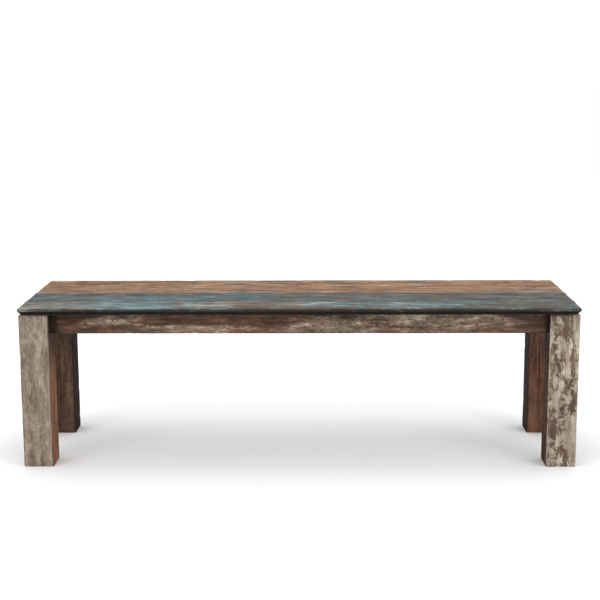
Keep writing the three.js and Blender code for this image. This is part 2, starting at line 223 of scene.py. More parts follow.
def timber(
    name, axis, section, a0, a1, step, seed, cracks=(), shape=None, extra=(),
    ridge=0.22, sway=0.5, dents=0.7, chips=1.8, end_round=1.0, end_mask=None, groove=None,
):
    """A worn length of timber: section swept along axis from a0 to a1. The surface
    only ever goes inwards, so the piece stays inside the solid it stands for."""
    xs = stations(a0, a1, step, extra)
    count, k = len(xs), len(section.p)
    A = np.repeat(xs[:, None], k, 1)
    B = np.repeat(section.p[None, :, 0], count, 0)
    C = np.repeat(section.p[None, :, 1], count, 0)
    NB = np.repeat(section.n[None, :, 0], count, 0)
    NC = np.repeat(section.n[None, :, 1], count, 0)
    E = np.repeat(section.e[None, :], count, 0)
    to_end = np.minimum(A - a0, a1 - A)
    q = np.stack([A.ravel(), B.ravel(), C.ravel()], 1)

    def field(scale, s, octaves=2):
        return fbm(q * np.array(scale) + s * 3.7, seed * 101 + s, octaves).reshape(count, k)

    depth = sway * MM * field((3.0, 9.0, 9.0), 1)
    grain = field((5.0, 210.0, 210.0), 2, 2)
    figure = field((2.0, 45.0, 45.0), 3, 2)
    depth += ridge * MM * (0.6 * grain + 0.4 * figure)
    hollow = field((14.0, 42.0, 42.0), 4, 1)
    depth += dents * MM * smoothstep(0.80, 0.97, hollow)
    # Chipped and rubbed arrises: soft rounding everywhere, small bites here and there.
    near = np.exp(-E / (2.6 * MM))
    near_end = np.exp(-to_end / (3.0 * MM))
    rub = field((11.0, 11.0, 11.0), 5, 2)
    bite = smoothstep(0.62, 0.80, field((46.0, 30.0, 30.0), 6, 2))
    depth += near * (0.45 * MM * smoothstep(0.35, 0.75, rub) + chips * MM * bite * 0.8)
    corner = near_end * near
    depth += corner * chips * 0.7 * MM
    crack_v = np.zeros((count, k))
    shift = np.zeros((count, k))
    for j, cr in enumerate(cracks):
        own = section.crack == j
        if not own.any():
            continue
        line = np.stack([xs * 9.0, np.full(count, seed + 0.5), np.full(count, j + 0.5)], 1)
        wander = (fbm(line, seed * 7 + j, 2) - 0.5) * 6.0 * MM
        span = smoothstep(cr["from"], cr["from"] + 0.05, xs) * (
            1 - smoothstep(cr["to"] - 0.05, cr["to"], xs)
        )
        rough = 0.55 + 0.45 * vnoise(line * np.array((7.0, 1.0, 1.0)), seed + 3 * j)
        amount = span * rough
        mid = section.t[own & (section.crack_k == 1)][0]
        same = section.edge_id == cr["edge"]
        reach = np.where(same & (section.t >= 0), 1 - np.abs(section.t - mid) / (13 * MM), 0)
        reach = smoothstep(0, 1, np.clip(reach, 0, 1)) * smoothstep(0, 6 * MM, section.e)
        shift += wander[:, None] * reach[None, :]
        part = np.where(own, section.crack_k, 0)[None, :] * amount[:, None]
        depth += cr["depth"] * MM * part
        crack_v = np.maximum(crack_v, part)
    # along the face, so that a crack wanders as the grain does
    B2 = B - NC * shift
    C2 = C + NB * shift
    inset = np.where(
        to_end < end_round * MM,
        end_round * MM - np.sqrt(np.maximum(0, (end_round * MM) ** 2 - (end_round * MM - to_end) ** 2)),
        0,
    )
    depth += inset if end_mask is None else inset * end_mask[None, :]
    if groove:
        inside = (np.abs(xs) < groove["reach"])[:, None]
        g = np.repeat(section.groove[None, :], count, 0)
        depth = np.where((g > 0) & inside, groove["depth"], depth)
    if shape:
        A, B2, C2, keep = shape(A, B2, C2)
        depth = depth * keep
    B2 = B2 - NB * depth
    C2 = C2 - NC * depth

    pos = [np.stack([A, B2, C2], 2).reshape(-1, 3)]
    edge = [np.maximum(near, near_end * 0.9).ravel()]
    crack = [crack_v.ravel()]
    endg = [np.zeros(count * k)]
    chipv = [(near * bite).ravel()]
    faces = []
    idx = np.arange(count * k).reshape(count, k)
    nxt = np.roll(idx, -1, axis=1)
    quads = np.stack([idx[:-1], nxt[:-1], nxt[1:], idx[1:]], 2).reshape(-1, 4)
    faces.append(quads)
    base = count * k
    tris = []
    for side, row in ((-1, 0), (1, count - 1)):
        ring = pos[0].reshape(count, k, 3)[row]
        mid = ring.mean(0)
        prev = idx[row]
        levels = [0.04, 0.12, 0.26, 0.44, 0.64, 0.84]
        for lv in levels:
            pts = ring + (mid - ring) * lv
            wob = fbm(pts * np.array((1.0, 160.0, 160.0)) + 5, seed + 900 + row, 2)
            saw = vnoise(pts * np.array((1.0, 40.0, 420.0)) + 9, seed + 950 + row)
            pts = pts.copy()
            pts[:, 0] -= side * (0.35 * wob + 0.2 * saw) * MM * min(1.0, lv * 6)
            pos.append(pts)
            edge.append(np.full(k, max(0.0, 0.9 - lv * 4)))
            crack.append(np.zeros(k))
            endg.append(np.ones(k))
            chipv.append(np.zeros(k))
            new = np.arange(base, base + k)
            base += k
            a, b = prev, np.roll(prev, -1)
            c, d = np.roll(new, -1), new
            q4 = np.stack([a, d, c, b], 1) if side < 0 else np.stack([a, b, c, d], 1)
            faces.append(q4 if side > 0 else q4)
            prev = new
        pos.append(mid[None, :].copy())
        edge.append(np.zeros(1))
        crack.append(np.zeros(1))
        endg.append(np.ones(1))
        chipv.append(np.zeros(1))
        hub = base
        base += 1
        a, b = prev, np.roll(prev, -1)
        t = np.stack([a, np.full(k, hub), b], 1) if side < 0 else np.stack([a, b, np.full(k, hub)], 1)
        tris.append(t)
    P = np.concatenate(pos)
    out = np.zeros_like(P)
    order = AXES[axis]
    for local, world in enumerate(order):
        out[:, world] = P[:, local]
    polys = [list(map(int, f)) for f in np.concatenate(faces)] + [
        list(map(int, f)) for f in np.concatenate(tris)
    ]
    mesh = bpy.data.meshes.new(name)
    mesh.from_pydata(out.tolist(), [], polys)
    mesh.update()
    # faces point out: the signed volume settles the winding
    mesh.calc_loop_triangles()
    tri = np.zeros(len(mesh.loop_triangles) * 3, np.int32)
    mesh.loop_triangles.foreach_get("vertices", tri)
    tri = tri.reshape(-1, 3)
    v = out[tri]
    volume = np.einsum("ij,ij->i", v[:, 0], np.cross(v[:, 1], v[:, 2])).sum()
    if volume < 0:
        mesh.flip_normals()
    for label, values in (("edge", edge), ("crack", crack), ("endgrain", endg), ("chip", chipv)):
        att = mesh.attributes.new(label, "FLOAT", "POINT")
        att.data.foreach_set("value", np.concatenate(values).astype(np.float32))
    mesh.polygons.foreach_set("use_smooth", [True] * len(mesh.polygons))
    mesh.set_sharp_from_angle(angle=math.radians(38))
    obj = bpy.data.objects.new(name, mesh)
    scene.collection.objects.link(obj)
    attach(obj, "root")
    return obj


# ------------------------------------------------------------- node materials
def srgb(r, g, b):
    def one(c):
        c = c / 255
        return c / 12.92 if c <= 0.04045 else ((c + 0.055) / 1.055) ** 2.4

    return (one(r), one(g), one(b), 1.0)


class Nodes:
    """Short names for building one material's node tree."""

    def __init__(self, name):
        self.mat = bpy.data.materials.new(name)
        self.mat.use_nodes = True
        self.tree = self.mat.node_tree
        self.tree.nodes.clear()
        out = self.new("ShaderNodeOutputMaterial")
        self.bsdf = self.new("ShaderNodeBsdfPrincipled")
        self.tree.links.new(self.bsdf.outputs[0], out.inputs[0])
        self.coord = self.new("ShaderNodeTexCoord").outputs["Object"]

    def new(self, kind):
        return self.tree.nodes.new(kind)

    def put(self, socket, value):
        if isinstance(value, bpy.types.NodeSocket):
            self.tree.links.new(value, socket)
        else:
            socket.default_value = value

    def math(self, op, a, b=None, c=None, clamp=False):
        n = self.new("ShaderNodeMath")
        n.operation, n.use_clamp = op, clamp
        for i, v in enumerate((a, b, c)):
            if v is not None:
                self.put(n.inputs[i], v)
        return n.outputs[0]

    def mix(self, fac, a, b, blend="MIX"):
        n = self.new("ShaderNodeMix")
        n.data_type, n.blend_type, n.clamp_factor = "RGBA", blend, True
        self.put(n.inputs[0], fac)
        self.put(n.inputs[6], a)
        self.put(n.inputs[7], b)
        return n.outputs[2]

    def scaled(self, vec, scale, shift=(0, 0, 0)):
        n = self.new("ShaderNodeMapping")
        self.put(n.inputs["Vector"], vec)
        n.inputs["Scale"].default_value = scale
        n.inputs["Location"].default_value = shift
        return n.outputs[0]

    def noise(self, vec, scale=(1, 1, 1), detail=3, rough=0.55, twist=0.0, shift=(0, 0, 0)):
        n = self.new("ShaderNodeTexNoise")
        self.put(n.inputs["Vector"], self.scaled(vec, scale, shift))
        n.inputs["Scale"].default_value = 1
        n.inputs["Detail"].default_value = detail
        n.inputs["Roughness"].default_value = rough
        n.inputs["Distortion"].default_value = twist
        return n.outputs[0]

    def smooth(self, v, lo, hi, a=0.0, b=1.0):
        n = self.new("ShaderNodeMapRange")
        n.interpolation_type = "SMOOTHSTEP"
        self.put(n.inputs["Value"], v)
        n.inputs["From Min"].default_value = lo
        n.inputs["From Max"].default_value = hi
        n.inputs["To Min"].default_value = a
        n.inputs["To Max"].default_value = b
        return n.outputs[0]

    def ramp(self, v, stops):
        n = self.new("ShaderNodeValToRGB")
        self.put(n.inputs[0], v)
        el = n.color_ramp.elements
        while len(el) > 1:
            el.remove(el[-1])
        el[0].position, el[0].color = stops[0]
        for pos, col in stops[1:]:
            e = el.new(pos)
            e.color = col
        return n.outputs[0]

    def level(self, v, stops):
        """A number that varies along v, from (position, value) pairs."""
        return self.ramp(v, [(p, (x, x, x, 1)) for p, x in stops])

    def scale_colour(self, colour, by):
        n = self.new("ShaderNodeVectorMath")
        n.operation = "SCALE"
        self.put(n.inputs[0], colour)
        self.put(n.inputs["Scale"], by)
        return n.outputs[0]

    def attr(self, name):
        n = self.new("ShaderNodeAttribute")
        n.attribute_type, n.attribute_name = "GEOMETRY", name
        return n.outputs["Fac"]


GAIN = 0.70  # the studio light is a little over 1 on the seat, so paints are mixed down


def tone(rgb, k=1.0):
    r, g, b, _ = srgb(*rgb)
    return (r * GAIN * k, g * GAIN * k, b * GAIN * k, 1.0)


def wood(
    name, axis, box, seed, tones, paints=(), dirt=0.35, spec=0.1, rough=0.8,
    fleck=0.2, edge_tone=None, edge_amount=0.75, worn=True, knots=True,
    grain=(7, 150, 150), cloud=(8, 32, 32), contrast=0.25, mottle=0.0,
    mottle_scale=(90, 130, 130), skirt_and_bevel_shade=None, faces=(), top_shade=0.0, end_shade=0.0,
    cross=1, lift=1.0,
):
    """Old timber with layers of worn paint. tones are dark, mid and light wood.
    Each paint has two colours, roughly how much it covers along the piece and across
    it (in tenths of its length and width), and how long and thin its patches are;
    seeded noise makes the patches. The skirt tone colours a seat board's edge band, and a near-black
    copy of it is painted shade on the under-bevel. faces gives single faces a tone of their own;
    on the legs' inner faces these tones are partly painted shade, and their upper part is darkened further as painted
    shade."""
    m = Nodes(name)
    lo, hi = box
    sep = m.new("ShaderNodeSeparateXYZ")
    m.put(sep.inputs[0], m.coord)
    join = m.new("ShaderNodeCombineXYZ")
    for i, world in enumerate(AXES[axis]):
        m.put(join.inputs[i], sep.outputs[world])
    g = join.outputs[0]
    off = (seed * 1.37, seed * 2.11, seed * 0.73)
    world = AXES[axis][0]

    def fraction(k):
        return m.math("DIVIDE", m.math("SUBTRACT", sep.outputs[k], lo[k]), hi[k] - lo[k])

    along, over = fraction(world), fraction(cross)

    def t(rgb, k=1.0):
        return tone(rgb, k * lift)

    # the grain wanders slowly along the piece
    sway = m.noise(g, (2.6, 7, 7), 2, 0.5, 0, off)
    bend = m.new("ShaderNodeCombineXYZ")
    m.put(bend.inputs[1], m.math("MULTIPLY", m.math("SUBTRACT", sway, 0.5), 0.035))
    m.put(bend.inputs[2], m.math("MULTIPLY", m.math("SUBTRACT", sway, 0.5), 0.02))
    add = m.new("ShaderNodeVectorMath")
    add.operation = "ADD"
    m.put(add.inputs[0], g)
    m.put(add.inputs[1], bend.outputs[0])
    w = add.outputs[0]

    broad = m.noise(w, (2.4, 34, 34), 4, 0.6, 0.3, off)
    mid = m.noise(w, (9, 44, 44), 4, 0.62, 0.4, (off[1], off[2], off[0]))
    streak = m.noise(w, grain, 4, 0.62, 0.2, off)
    fibre = m.noise(w, (26, 820, 820), 3, 0.6, 0, off)
    contour = m.noise(w, (1.1, 8.5, 8.5), 2, 0.45, 0.2, off)
    rings = m.math("SINE", m.math("MULTIPLY", contour, 95))
    rings = m.math("MULTIPLY_ADD", rings, 0.5, 0.5)
    blot = m.noise(g, (5, 14, 14), 3, 0.55, 0.4, off)
    speck = m.noise(g, (120, 260, 260), 2, 0.6, 0, off)
    pits = m.noise(g, mottle_scale, 4, 0.66, 0.5, (off[2], off[1], off[0]))
    haze = m.noise(w, cloud, 4, 0.66, 0.5, (off[1], off[0], off[2]))
    run = m.noise(w, (cloud[0] * 1.7, cloud[1] * 1.5, cloud[2] * 1.5), 4, 0.66, 0.3, (off[2], off[1], off[0]))

    body = m.math("MULTIPLY", broad, 0.42)
    body = m.math("MULTIPLY_ADD", mid, 0.24, body)
    body = m.math("MULTIPLY_ADD", streak, 0.24, body)
    body = m.math("MULTIPLY_ADD", rings, 0.10, body)
    col = m.ramp(body, [(0.38, t(tones[0])), (0.5, t(tones[1])), (0.62, t(tones[2]))])
    pore = m.smooth(fibre, 0.30, 0.52)
    col = m.mix(m.math("MULTIPLY", m.math("SUBTRACT", 1, pore), 0.4), col, t(tones[0], 0.3))

    if knots:
        vor = m.new("ShaderNodeTexVoronoi")
        vor.feature = "F1"
        m.put(vor.inputs["Vector"], m.scaled(w, (3.0, 10, 10), off))
        vor.inputs["Scale"].default_value = 1
        vor.inputs["Randomness"].default_value = 1
        pick = m.new("ShaderNodeSeparateColor")
        m.put(pick.inputs[0], vor.outputs["Color"])
        rare = m.smooth(pick.outputs[0], 0.72, 0.76)
        heart = m.math("SUBTRACT", 1, m.smooth(vor.outputs["Distance"], 0.05, 0.17))
        knot = m.math("MULTIPLY", heart, rare)
        col = m.mix(m.math("MULTIPLY", knot, 0.7), col, t(tones[0], 0.35))

    film = 0.0
    coat = 0.0
    for i, p in enumerate(paints):
        s = (off[0] + 5.1 * (i + 1), off[1] + 3.3 * (i + 1), off[2] + 7.7 * (i + 1))
        zone = m.noise(w, p.get("zone", (5, 22, 22)), 4, 0.6, 0.6, s)
        fine = m.noise(w, p.get("fine", (15, 48, 48)), 6, 0.72, 0.4, s)
        cover = m.level(m.math("MULTIPLY_ADD", m.math("SUBTRACT", blot, 0.5), 0.2, along), p["cover"])
        if "across" in p:
            side = m.level(m.math("MULTIPLY_ADD", m.math("SUBTRACT", mid, 0.5), 0.4, over), p["across"])
            cover = m.math("SUBTRACT", m.math("ADD", cover, side), 1)
        v = m.math("MULTIPLY_ADD", m.math("SUBTRACT", zone, 0.5), p.get("patch", 2.0), cover)
        v = m.math("MULTIPLY_ADD", m.math("SUBTRACT", fine, 0.5), p.get("ragged", 2.2), v)
        v = m.math("MULTIPLY_ADD", m.math("SUBTRACT", streak, 0.5), p.get("grain", 0.6), v)
        v = m.math("MULTIPLY_ADD", m.math("SUBTRACT", pits, 0.5), p.get("stipple", 0.7), v)
        v = m.math("MULTIPLY_ADD", m.math("SUBTRACT", pore, 1), p.get("pores", 0.12), v)
        soft = p.get("soft", 0.16)
        mask = m.smooth(v, 0.5 - soft, 0.5 + soft)
        shade = m.math("MULTIPLY_ADD", run, 0.6, m.math("MULTIPLY", fine, 0.4))
        tint = m.ramp(shade, [(0.40, t(p["b"], 0.82)), (0.5, t(p["b"])), (0.58, t(p["a"])), (0.68, t(p["a"], 1.12))])
        amount = m.math("MULTIPLY", mask, p.get("strength", 0.85))
        col = m.mix(amount, col, tint)
        film = m.math("MAXIMUM", film, amount)
        coat = m.math("MAXIMUM", coat, mask)

    # grime in the hollows of the grain, flecks where the surface is bruised
    hollow = m.noise(w, (11, 62, 62), 4, 0.68, 0.2, (off[2], off[0], off[1]))
    col = m.mix(m.math("MULTIPLY", m.smooth(hollow, 0.50, 0.66), dirt), col, t((58, 48, 41)))
    if mottle:
        col = m.mix(m.math("MULTIPLY", m.smooth(pits, 0.52, 0.70), mottle), col, t(tones[0], 0.5))
        col = m.mix(m.math("MULTIPLY", m.smooth(pits, 0.48, 0.32), mottle * 0.45), col, t([min(255, c * 1.2) for c in tones[2]]))
    col = m.mix(m.math("MULTIPLY", m.smooth(speck, 0.66, 0.76), fleck), col, t(tones[2]))
    # uneven fading and handling: broad soft streaks, lighter and darker
    col = m.scale_colour(col, m.smooth(haze, 0.34, 0.66, 1 - contrast, 1 + contrast * 0.75))

    height = m.math("MULTIPLY_ADD", streak, 0.5, m.math("MULTIPLY", fibre, 0.22))
    height = m.math("MULTIPLY_ADD", coat, 0.2, height)
    height = m.math("MULTIPLY_ADD", pits, -0.5 * mottle - 0.12, height)
    rough_v = m.math("MULTIPLY_ADD", film, -0.12, rough)
    rough_v = m.math("MULTIPLY_ADD", m.math("SUBTRACT", streak, 0.5), 0.22, rough_v, clamp=True)

    # single faces get their own tone; on the legs' inner faces, under the bench, this is partly painted shade, and
    # the upper part of each such face is darkened further as painted shade
    if faces:
        normal = m.new("ShaderNodeSeparateXYZ")
        m.put(normal.inputs[0], m.new("ShaderNodeNewGeometry").outputs["Normal"])
        for which, sign, dark, light, upper_shade in faces:
            facing = m.smooth(m.math("MULTIPLY", normal.outputs[which], sign), 0.55, 0.8)
            own = m.ramp(body, [(0.4, t(dark)), (0.6, t(light))])
            own = m.mix(m.math("MULTIPLY", m.math("SUBTRACT", 1, pore), 0.3), own, t(dark, 0.4))
            own = m.scale_colour(own, m.smooth(haze, 0.34, 0.66, 0.8, 1.15))
            own = m.mix(m.math("MULTIPLY", m.smooth(m.math("MULTIPLY_ADD", m.math("SUBTRACT", blot, 0.5), 0.2, along), 0.55, 0.82), upper_shade), own, t(dark, 0.2))
            col = m.mix(m.math("MULTIPLY", facing, 0.94), col, own)
    if top_shade:
        col = m.mix(m.math("MULTIPLY", m.smooth(along, 0.80, 1.0), top_shade), col, t(tones[0], 0.5))
    if end_shade:
        # painted shade: the rail darkens softly towards both ends, beside the legs
        near = m.math("ABSOLUTE", m.math("SUBTRACT", along, 0.5))
        near = m.math("MULTIPLY_ADD", m.math("SUBTRACT", blot, 0.5), 0.02, near)
        col = m.mix(m.math("MULTIPLY", m.smooth(near, 0.38, 0.5), end_shade * 0.6), col, t(tones[0], 0.6))
        # painted shade: the rail is darkened along its top under the seat's overhang, and sharply in the corners by
        # the legs, further in at the left end than the right
        col = m.mix(m.math("MULTIPLY", m.smooth(over, 0.60, 0.96), 0.3), col, t(tones[0], 0.5))
        close = m.math("ABSOLUTE", m.math("SUBTRACT", along, 0.504))
        close = m.math("MULTIPLY_ADD", m.math("SUBTRACT", blot, 0.5), 0.01, close)
        col = m.mix(m.math("MULTIPLY", m.smooth(close, 0.485, 0.495), end_shade), col, t(tones[0], 0.3))

    if skirt_and_bevel_shade:
        drop = m.math("SUBTRACT", hi[2], sep.outputs[2])
        drop = m.math("MULTIPLY_ADD", m.math("SUBTRACT", mid, 0.5), 0.002, drop)
        band = m.mix(m.smooth(streak, 0.38, 0.62), t(skirt_and_bevel_shade, 0.7), t(skirt_and_bevel_shade, 1.25))
        bare = m.level(m.math("MULTIPLY_ADD", m.math("SUBTRACT", blot, 0.5), 0.2, along), [(0.0, 0.2), (0.1, 0.9), (0.9, 0.9), (1.0, 0.4)])
        col = m.mix(m.math("MULTIPLY", m.smooth(drop, 0.0010, 0.0046), bare), col, band)
        # painted shade: the under-bevel below the edge band is coloured near black for the shadow under the seat's
        # edge
        col = m.mix(m.smooth(drop, 0.0068, 0.0098), col, t(skirt_and_bevel_shade, 0.22))
        sawn = m.ramp(body, [(0.38, t((66, 52, 42))), (0.62, t((104, 84, 66)))])
        col = m.mix(m.smooth(drop, 0.0184, 0.0192), col, sawn)

    if worn:
        edge, crack_v, endg, chip = (m.attr(a) for a in ("edge", "crack", "endgrain", "chip"))
        # arrises rub through to darker, greasier wood, and chips show it raw
        rub = m.math("MULTIPLY_ADD", m.math("SUBTRACT", blot, 0.5), 1.4, edge)
        rub = m.math("MULTIPLY_ADD", m.math("SUBTRACT", streak, 0.5), 0.8, rub)
        rub = m.smooth(rub, 0.55, 0.95)
        col = m.mix(m.math("MULTIPLY", rub, edge_amount), col, t(edge_tone or [c * 0.8 for c in tones[0]]))
        col = m.mix(m.math("MULTIPLY", m.smooth(chip, 0.35, 0.7), 0.5), col, t(tones[1]))
        # end grain is darker, with its rings across the section
        ring2 = m.math("SINE", m.math("MULTIPLY", m.noise(g, (1, 26, 26), 2, 0.5, 0.3, off), 70))
        endcol = m.mix(m.math("MULTIPLY_ADD", ring2, 0.25, 0.35), t(tones[1]), t(tones[0], 0.45))
        ends = m.smooth(m.noise(g, (1, 700, 700), 2, 0.6, 0, off), 0.4, 0.6)
        endcol = m.mix(m.math("MULTIPLY", ends, 0.35), endcol, t(tones[0], 0.3))
        if skirt_and_bevel_shade:
            endcol = m.mix(0.75, endcol, t(skirt_and_bevel_shade))
        col = m.mix(m.math("MULTIPLY", endg, 0.85), col, endcol)
        col = m.mix(m.math("MULTIPLY", m.smooth(crack_v, 0.02, 0.5), 0.75), col, t((30, 23, 19)))
        height = m.math("MULTIPLY_ADD", endg, m.math("MULTIPLY", ring2, 0.1), height)

    m.put(m.bsdf.inputs["Base Color"], col)
    m.put(m.bsdf.inputs["Roughness"], rough_v)
    m.bsdf.inputs["Specular IOR Level"].default_value = spec
    bump = m.new("ShaderNodeBump")
    bump.inputs["Strength"].default_value = 0.6
    bump.inputs["Distance"].default_value = 0.0012
    m.put(bump.inputs["Height"], height)
    m.put(m.bsdf.inputs["Normal"], bump.outputs[0])
    return m.mat


def steel(name, seed):
    """Zinc-plated steel: a dull bright plate, hazed and spotted with age."""
    m = Nodes(name)
    haze = m.noise(m.coord, (90, 90, 90), 4, 0.6, 0.4, (seed, 0, 0))
    spot = m.noise(m.coord, (420, 420, 420), 3, 0.65, 0, (0, seed, 0))
    col = m.ramp(haze, [(0.35, srgb(146, 145, 138)), (0.65, srgb(190, 190, 184))])
    col = m.mix(m.math("MULTIPLY", m.smooth(spot, 0.60, 0.72), 0.55), col, srgb(110, 84, 58))
    m.put(m.bsdf.inputs["Base Color"], col)
    m.put(m.bsdf.inputs["Roughness"], m.math("MULTIPLY_ADD", haze, 0.3, 0.22))
    m.bsdf.inputs["Metallic"].default_value = 0.95
    bump = m.new("ShaderNodeBump")
    bump.inputs["Strength"].default_value = 0.3
    bump.inputs["Distance"].default_value = 0.0002
    m.put(bump.inputs["Height"], spot)
    m.put(m.bsdf.inputs["Normal"], bump.outputs[0])
    return m.mat


def dress(obj, mat):
    obj.data.materials.clear()
    obj.data.materials.append(mat)


# ---------------------------------------------------------------- the palette
# A few paint colours, shared by the whole bench: each board is the same old
# painted timber, rubbed back in its own mix of them.
PALE_GREY = (172, 168, 166)
LIGHT_BLUE = (124, 172, 184)
BLUE = (88, 144, 160)
DEEP_BLUE = (66, 108, 124)
TEAL = (108, 134, 126)
GREY_TEAL = (92, 106, 104)
OLIVE = (122, 108, 86)
SALMON = (164, 118, 94)
MAUVE = (106, 90, 90)
CREAM = (206, 186, 162)
UMBER = (78, 60, 48)

# ------------------------------------------------------------- the seat boards
STEP = 4.2 * MM
LONG = 6.0 * MM
BAND = 10 * MM  # upright part of the seat's edge
BEVEL = 9 * MM  # run of the under-bevel
SEAT_END = cad_hi.x - 2 * MM


def seat_board(node, kind, seed, cracks, material_args):
    lo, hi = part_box(node)
    y0, y1, z0, z1 = lo.y, hi.y, lo.z, hi.z
    if kind == "front":
        corners = [(y0 + BEVEL, z0), (y1, z0), (y1, z1), (y0, z1), (y0, z0 + BAND)]
        radii = [1.2 * MM, 0.7 * MM, 0.8 * MM, 3.4 * MM, 1.2 * MM]
        top, sides = 2, [1]
    elif kind == "back":
        corners = [(y0, z0), (y1 - BEVEL, z0), (y1, z0 + BAND), (y1, z1), (y0, z1)]
        radii = [0.7 * MM, 1.2 * MM, 1.2 * MM, 3.0 * MM, 0.8 * MM]
        top, sides = 3, [4]
    else:
        corners = [(y0, z0), (y1, z0), (y1, z1), (y0, z1)]
        radii = [0.7 * MM, 0.7 * MM, 0.8 * MM, 0.8 * MM]
        top, sides = 2, [1, 3]
    cracks = [dict(edge=top, **c) for c in cracks]
    grooves = [dict(edge=s, at=0.5, half=2.1 * MM) for s in sides]
    section = Section(corners, radii, STEP, cracks, grooves)

    def ends(A, B, C):
        run = BEVEL * np.clip((z0 + BAND - C) / BAND, 0, 1)
        w = np.clip((np.abs(A) - (hi.x - 0.04)) / 0.04, 0, 1)
        return A - np.sign(A) * run * w, B, C, 1.0

    # the ends are eased on top and on the outer edge, but not inside a joint
    joint = (section.n[:, 0] > 0.5) if kind == "front" else (section.n[:, 0] < -0.5)
    if kind == "middle":
        joint = np.abs(section.n[:, 0]) > 0.5
    obj = timber(
        node + "_worn", "x", section, lo.x, hi.x, LONG, seed, cracks, ends,
        end_mask=np.where(joint, 0.1, 1.0),
        extra=(-0.7201, -0.7199, 0.7199, 0.7201),
        groove={"reach": 0.720, "depth": 8.6 * MM},
        ridge=0.26, sway=0.3, dents=0.7, chips=1.5, end_round=5.0,
    )
    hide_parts(node)
    dress(obj, wood(node + "_finish", "x", (lo, hi), seed, **material_args))
    return obj


def crack(at, start, end, depth):
    return {"at": at, "from": start, "to": end, "depth": depth}


SEAT = dict(edge_amount=0.3, spec=0.12, rough=0.76, mottle=0.16, mottle_scale=(40, 60, 60), contrast=0.34)

board = seat_board(
    "seat_board_front", "front", 11,
    [crack(0.28, -0.62, -0.30, 1.8), crack(0.62, 0.05, 0.52, 2.0), crack(0.80, -0.20, 0.10, 1.3)],
    dict(
        tones=[(80, 70, 62), (112, 100, 88), (142, 128, 112)],
        paints=[
            dict(a=OLIVE, b=MAUVE, cover=[(0, 0.4), (0.5, 0.7), (1, 0.6)]),
            dict(a=TEAL, b=GREY_TEAL, cover=[(0, 0.3), (0.5, 0.4), (1, 0.6)]),
            dict(a=(178, 176, 168), b=(146, 146, 140), cover=[(0, 0.8), (0.2, 0.4), (1, 0.2)], strength=0.85),
            dict(a=(154, 188, 190), b=(116, 156, 162), cover=[(0, 0.0), (0.2, 0.75), (0.4, 0.35), (0.6, 0.45), (1, 0.1)], strength=0.92),
            dict(a=SALMON, b=(140, 108, 84), cover=[(0.2, 0.1), (0.4, 0.5), (0.6, 0.1)], strength=0.75),
        ],
        dirt=0.45, edge_tone=(64, 58, 52), skirt_and_bevel_shade=(46, 38, 31), **SEAT,
    ),
)

board = seat_board(
    "seat_board_second", "middle", 23,
    [crack(0.35, -0.25, 0.22, 1.6), crack(0.7, 0.30, 0.66, 1.8)],
    dict(
        tones=[(82, 74, 68), (106, 98, 90), (130, 120, 108)],
        paints=[
            dict(a=(112, 120, 116), b=(92, 94, 94), cover=[(0, 0.7), (1, 0.6)], strength=0.75),
            dict(a=(136, 108, 86), b=(104, 86, 80), cover=[(0, 0.4), (0.5, 0.4), (1, 0.5)], strength=0.75),
            dict(a=(104, 132, 134), b=(88, 112, 112), cover=[(0, 0.4), (0.5, 0.5), (1, 0.4)], strength=0.75),
            dict(a=(104, 152, 164), b=DEEP_BLUE, cover=[(0, 0.3), (0.4, 0.4), (0.7, 0.2), (1, 0.0)], across=[(0, 1), (0.6, 1), (1, 0.6)], strength=0.85),
        ],
        dirt=0.42, edge_tone=(72, 68, 62), skirt_and_bevel_shade=(46, 38, 31), **SEAT,
    ),
)

board = seat_board(
    "seat_board_third", "middle", 37,
    [crack(0.5, -0.66, -0.34, 1.4), crack(0.3, 0.12, 0.40, 1.6)],
    dict(
        tones=[(122, 94, 74), (156, 124, 98), (184, 150, 118)],
        paints=[
            dict(a=(182, 140, 106), b=(156, 120, 92), cover=[(0, 0.5), (1, 0.5)], strength=0.75),
            dict(a=(136, 130, 118), b=(112, 106, 100), cover=[(0, 0.5), (0.5, 0.25), (1, 0.5)], across=[(0, 1), (0.4, 0.8), (1, 0.8)], strength=0.75),
            dict(a=(190, 138, 108), b=(162, 110, 82), cover=[(0, 0.4), (1, 0.35)], strength=0.7),
            dict(a=CREAM, b=(188, 156, 132), cover=[(0, 0.25), (1, 0.25)], zone=(8, 40, 40), strength=0.6),
        ],
        dirt=0.3, edge_tone=(104, 86, 74), skirt_and_bevel_shade=(60, 52, 46), **SEAT,
    ),
)

board = seat_board(
    "seat_board_back", "back", 41,
    [crack(0.45, -0.10, 0.30, 1.6)],
    dict(
        tones=[(116, 82, 60), (154, 114, 84), (186, 146, 108)],
        paints=[
            dict(a=(158, 106, 76), b=(128, 102, 72), cover=[(0, 0.5), (1, 0.45)], strength=0.75),
            dict(a=(206, 178, 146), b=(184, 150, 118), cover=[(0, 0.4), (0.5, 0.45), (0.8, 0.6), (1, 0.3)], zone=(8, 34, 34), strength=0.8),
        ],
        dirt=0.34, edge_tone=(124, 108, 92), skirt_and_bevel_shade=(70, 58, 50), **SEAT,
    ),
)

# ---------------------------------------------------------------------- rails
BATTENS = ["batten_left", "batten_middle", "batten_right"]


